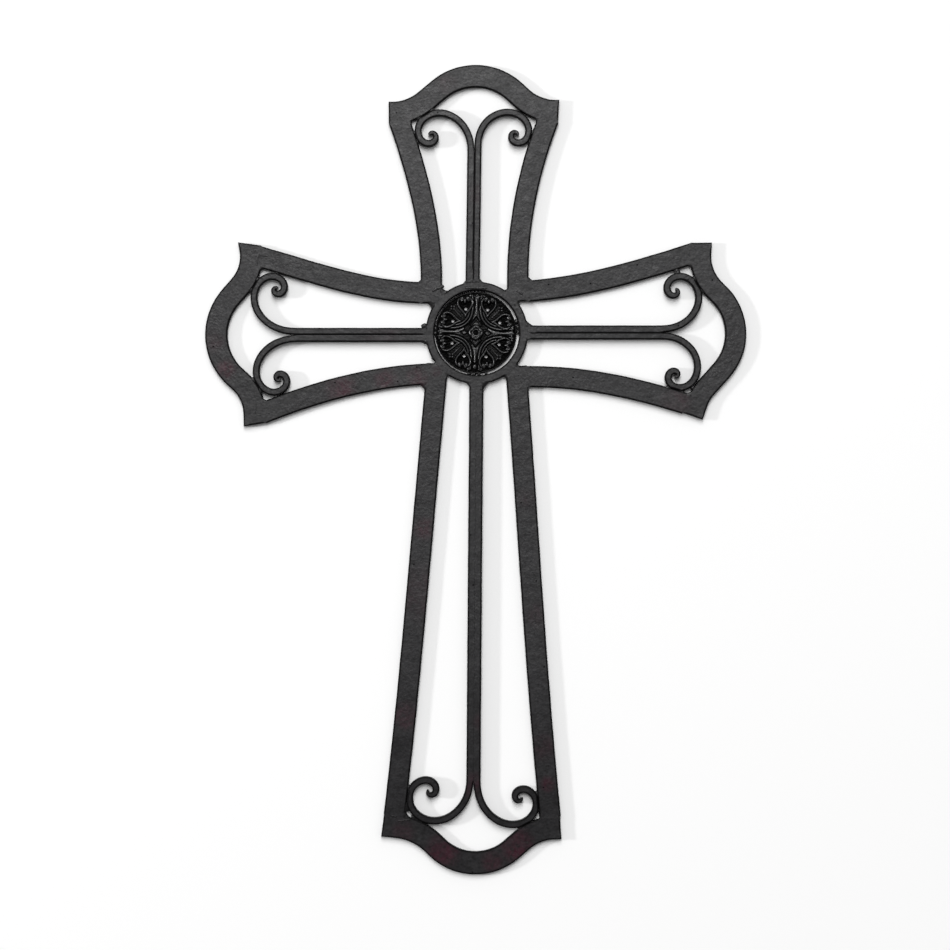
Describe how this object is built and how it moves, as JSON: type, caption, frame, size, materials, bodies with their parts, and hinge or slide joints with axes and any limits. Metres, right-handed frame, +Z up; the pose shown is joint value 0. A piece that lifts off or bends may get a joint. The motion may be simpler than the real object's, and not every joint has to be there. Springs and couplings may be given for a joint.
{
  "type": "wrought iron cross",
  "caption": "Wall-hung wrought iron cross: flared arms of flat bar with ogee caps, paired scrolls inside each arm and a cast rosette in a ring at the crossing.",
  "frame": {"origin": "centre of the hub ring, in the plane of the back, where the cross bears on its wall", "axes": "+Z up along the long arm's axis towards the top cap, +X to the right seen from the front, front faces -Y, back faces +Y"},
  "size_m": [0.4897, 0.0076, 0.7325],
  "materials": {
    "bar_paint": "matt charcoal-black paint on forged flat bar, slightly mottled, worn a little browner in places",
    "scroll_paint": "matt to satin black paint on square scroll bar",
    "cast_iron_paint": "glossier black paint on cast iron, with bright thin glints on its ridges"
  },
  "bodies": {
    "root": {"top_cap": "bar_paint", "left_cap": "bar_paint", "foot_cap": "bar_paint", "right_cap": "bar_paint", "top_bar_left": "bar_paint", "top_bar_right": "bar_paint", "left_bar_upper": "bar_paint", "left_bar_lower": "bar_paint", "foot_bar_left": "bar_paint", "foot_bar_right": "bar_paint", "right_bar_upper": "bar_paint", "right_bar_lower": "bar_paint", "hub_ring": "bar_paint", "top_scroll_left": "scroll_paint", "top_scroll_right": "scroll_paint", "left_scroll_upper": "scroll_paint", "left_scroll_lower": "scroll_paint", "foot_scroll_left": "scroll_paint", "foot_scroll_right": "scroll_paint", "right_scroll_upper": "scroll_paint", "right_scroll_lower": "scroll_paint", "rosette": "cast_iron_paint"}
  },
  "joints": []
}
